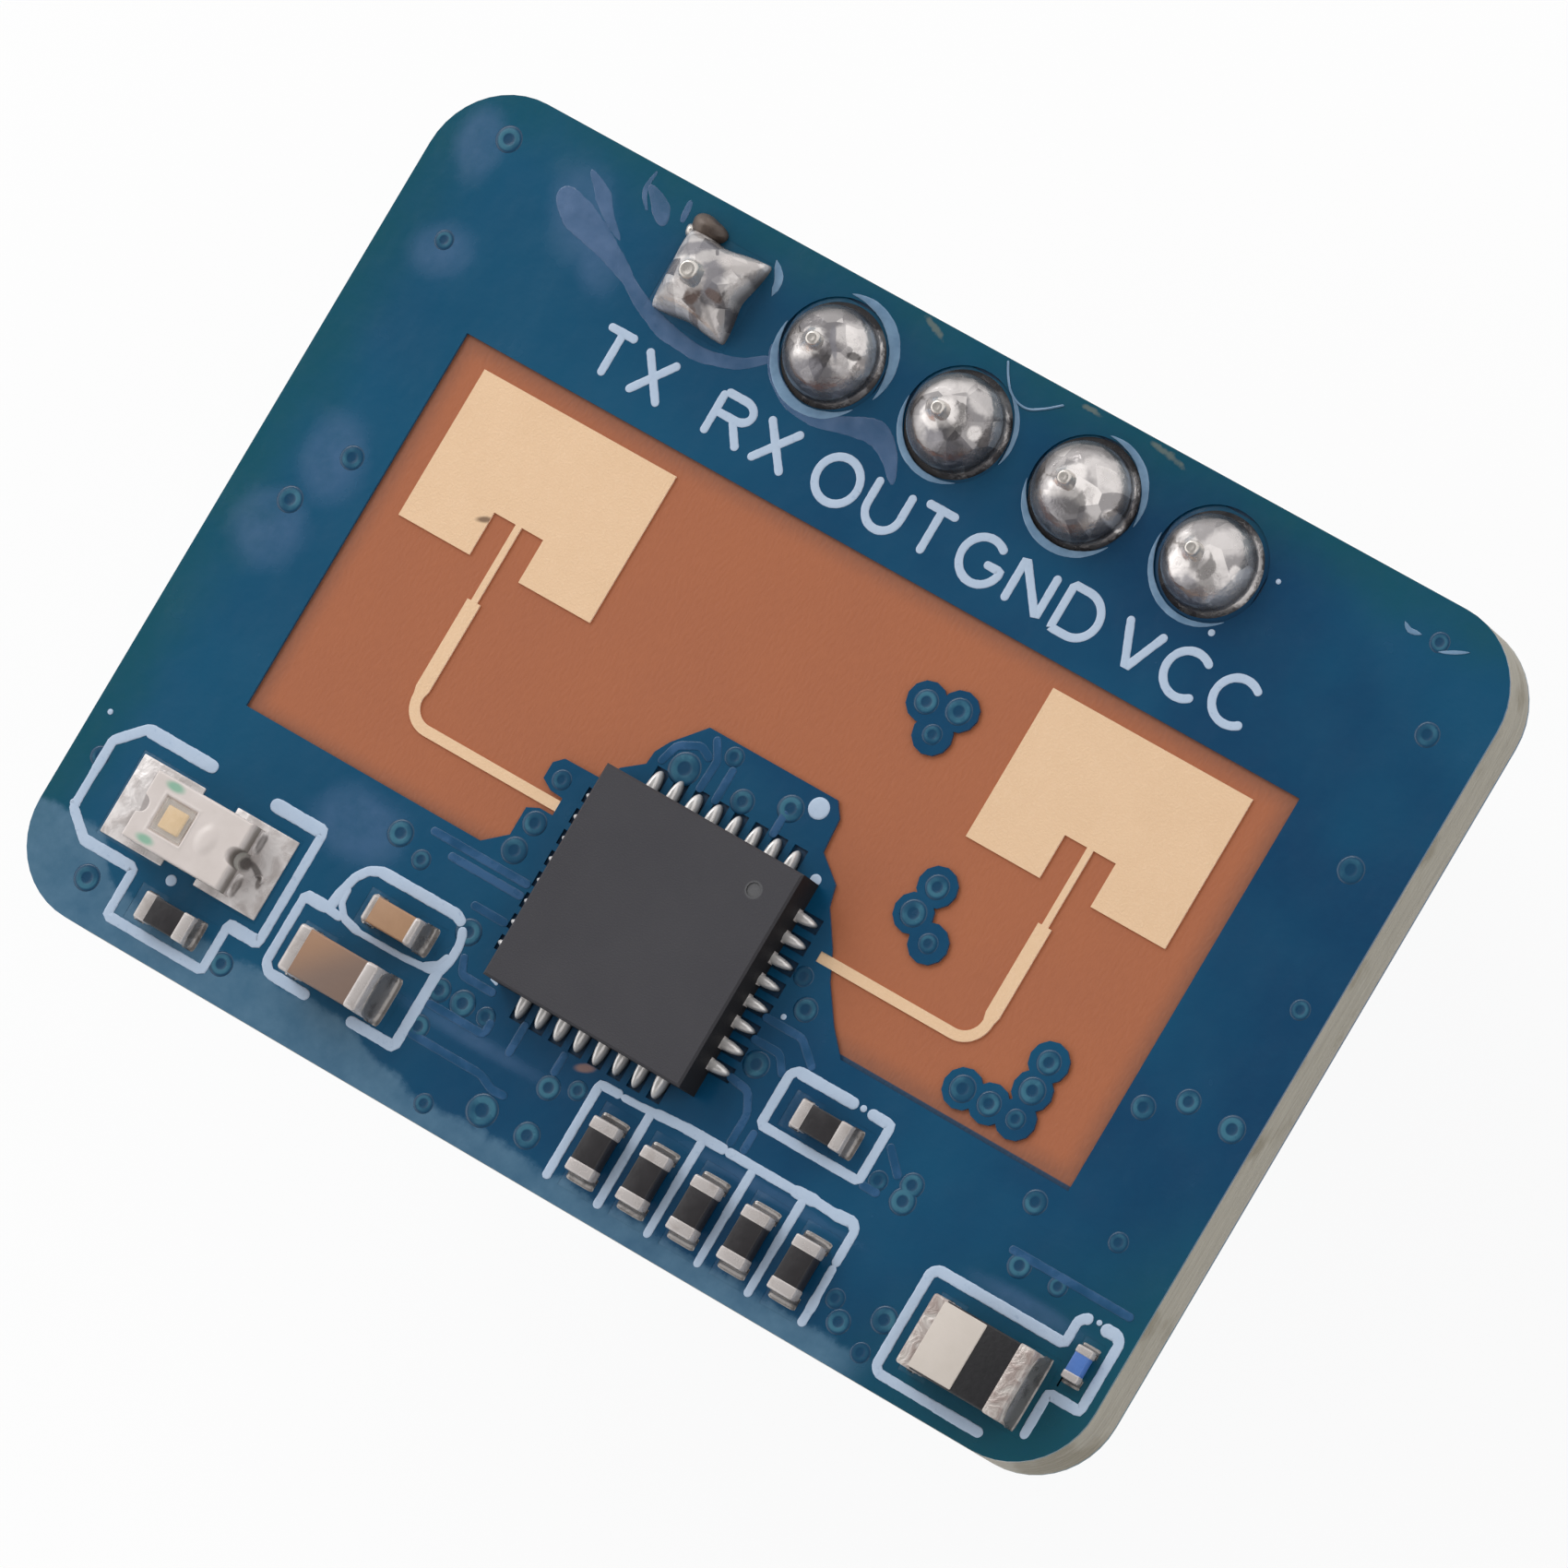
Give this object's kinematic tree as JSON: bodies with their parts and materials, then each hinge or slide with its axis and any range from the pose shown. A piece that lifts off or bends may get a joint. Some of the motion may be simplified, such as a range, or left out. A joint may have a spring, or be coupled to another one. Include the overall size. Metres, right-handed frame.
{
  "type": "microwave radar sensor module",
  "caption": "Small blue radar presence sensor board with patch antennas, a radar chip, a status light and a soldered pin header on its back.",
  "frame": {"origin": "axis of the middle header pin, in the plane where the header's housing seats on a host board", "axes": "+Z out of the antenna side, away from the host board; X along the pin row, from the first pin to the last; +Y towards the board edge beside the pins"},
  "size_m": [0.0216, 0.0157, 0.0109],
  "materials": {
    "bare_laminate": "bare glass-fibre laminate, satin",
    "gold_plating": "immersion gold, matt",
    "blue_mask": "glossy deep blue solder mask",
    "header_plastic": "moulded, fine matt",
    "pin_metal": "tinned square wire",
    "tinned_metal": "tin over copper, satin",
    "solder": "bright solder with dull patches",
    "chip_mould": "fine matt epoxy mould",
    "tan_ceramic": "fired ceramic, satin",
    "resistor_coat": "glazed black coat",
    "blue_coat": "glazed blue coat",
    "diode_mould": "epoxy mould",
    "cream_band": "printed cream band",
    "light_laminate": "thin white laminate",
    "white_plastic": "milky moulding",
    "amber_die": "amber phosphor",
    "clear_resin": "clear casting resin",
    "white_print": "screen-printed ink"
  },
  "bodies": {
    "root": {"back_mask": "blue_mask", "board_laminate": "bare_laminate", "capacitor_solder": "solder", "chip_body": "chip_mould", "chip_leads": "tinned_metal", "chip_solder": "solder", "chip_thermal_pad": "tinned_metal", "diode_band": "cream_band", "diode_body": "diode_mould", "diode_ends": "tinned_metal", "diode_solder": "solder", "edge_resistor_body": "blue_coat", "edge_resistor_ends": "tinned_metal", "front_mask": "blue_mask", "header_housing": "header_plastic", "header_pin_1": "pin_metal", "header_pin_2": "pin_metal", "header_pin_3": "pin_metal", "header_pin_4": "pin_metal", "header_pin_5": "pin_metal", "large_capacitor_body": "tan_ceramic", "large_capacitor_ends": "tinned_metal", "left_antenna": "gold_plating", "light_base": "light_laminate", "light_die": "amber_die", "light_ends": "tinned_metal", "light_housing": "white_plastic", "light_resistor_body": "resistor_coat", "light_resistor_ends": "tinned_metal", "light_solder": "solder", "light_window": "clear_resin", "outline_print": "white_print", "part_lands": "tinned_metal", "pin_solder_1": "solder", "pin_solder_2": "solder", "pin_solder_3": "solder", "pin_solder_4": "solder", "pin_solder_5": "solder", "plated_holes": "tinned_metal", "resistor_solder": "solder", "right_antenna": "gold_plating", "row_resistor_1_body": "resistor_coat", "row_resistor_1_ends": "tinned_metal", "row_resistor_2_body": "resistor_coat", "row_resistor_2_ends": "tinned_metal", "row_resistor_3_body": "resistor_coat", "row_resistor_3_ends": "tinned_metal", "row_resistor_4_body": "resistor_coat", "row_resistor_4_ends": "tinned_metal", "row_resistor_5_body": "resistor_coat", "row_resistor_5_ends": "tinned_metal", "side_resistor_body": "resistor_coat", "side_resistor_ends": "tinned_metal", "small_capacitor_body": "tan_ceramic", "small_capacitor_ends": "tinned_metal"}
  },
  "joints": []
}
